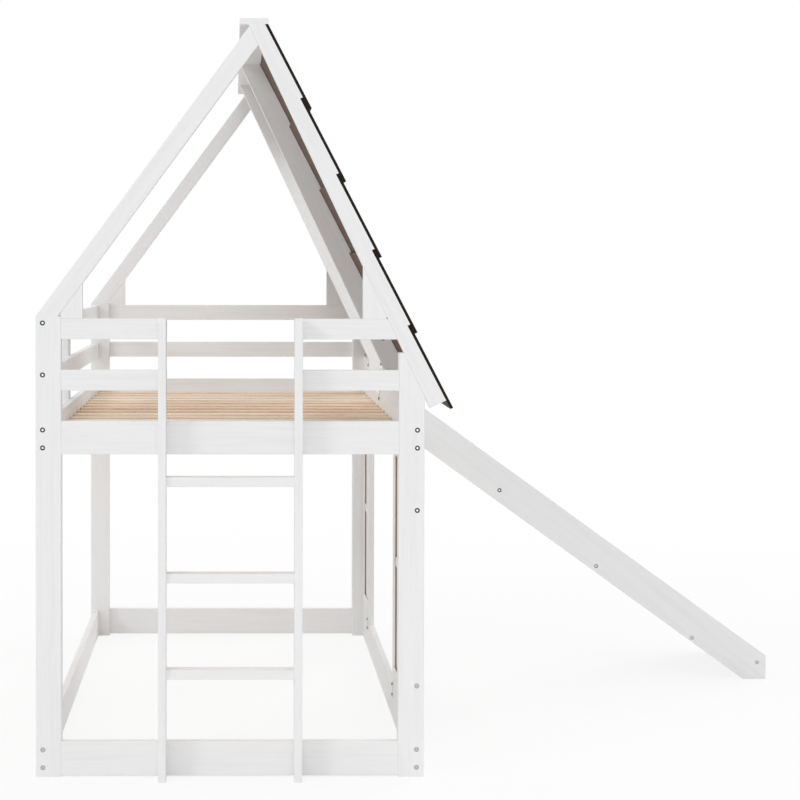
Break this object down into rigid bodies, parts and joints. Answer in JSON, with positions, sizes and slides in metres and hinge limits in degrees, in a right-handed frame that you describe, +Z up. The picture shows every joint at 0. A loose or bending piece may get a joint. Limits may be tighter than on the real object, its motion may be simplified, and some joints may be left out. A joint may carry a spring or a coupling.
{
  "type": "bunk bed with slide",
  "caption": "Twin-size house-shaped bunk bed: post frame with slatted upper bunk, floor-level lower bunk, front ladder, half-clad pitched roof, window walls and a straight side slide.",
  "frame": {"origin": "on the floor under the middle of the whole object's box", "axes": "+X from the bed towards the foot of the slide, +Y from the ladder side to the back, +Z up"},
  "size_m": [2.37, 2.044, 2.08],
  "materials": {
    "white_paint": "white-washed pine with faint grain, satin",
    "natural_pine": "bare sawn pine with knots",
    "brown_wood": "dark brown stained boards, satin",
    "steel": "zinc-plated steel"
  },
  "bodies": {
    "root": {"back_guard_lower": "white_paint", "back_guard_upper": "white_paint", "barrel_nuts": "steel", "bed_rail_back": "white_paint", "bed_rail_front": "white_paint", "bed_rail_left": "white_paint", "bed_rail_right": "white_paint", "bottom_rail_back": "white_paint", "bottom_rail_front": "white_paint", "bottom_rail_left": "white_paint", "bottom_rail_right": "white_paint", "dowels": "natural_pine", "fixing_plates": "steel", "frame_bolts": "steel", "front_guard_lower_left": "white_paint", "front_guard_lower_right": "white_paint", "front_guard_upper_left": "white_paint", "front_guard_upper_right": "white_paint", "gussets_left": "white_paint", "gussets_right": "white_paint", "ladder_rail_left": "white_paint", "ladder_rail_right": "white_paint", "ladder_rungs": "white_paint", "left_guard_lower": "white_paint", "left_guard_stile": "white_paint", "left_guard_upper": "white_paint", "post_back_left": "white_paint", "post_back_right": "white_paint", "post_front_left": "white_paint", "post_front_right": "white_paint", "rafter_back_left": "white_paint", "rafter_back_right": "white_paint", "rafter_front_left": "white_paint", "rafter_front_right": "white_paint", "rafter_middle": "white_paint", "rafter_slide": "white_paint", "ridge_board": "white_paint", "right_guard_far": "white_paint", "right_guard_near": "white_paint", "roof_boards": "brown_wood", "screws": "steel", "slat_ledge_left": "natural_pine", "slat_ledge_right": "natural_pine", "slats": "natural_pine", "slide_cleats": "white_paint", "slide_deck": "white_paint", "slide_side_far": "white_paint", "slide_side_near": "white_paint", "window_back_bar_cross": "white_paint", "window_back_bar_upright": "white_paint", "window_back_head": "white_paint", "window_back_sill": "white_paint", "window_back_stile_far": "white_paint", "window_back_stile_near": "white_paint", "window_front_bar_cross": "white_paint", "window_front_bar_upright": "white_paint", "window_front_head": "white_paint", "window_front_sill": "white_paint", "window_front_stile_far": "white_paint", "window_front_stile_near": "white_paint"}
  },
  "joints": []
}
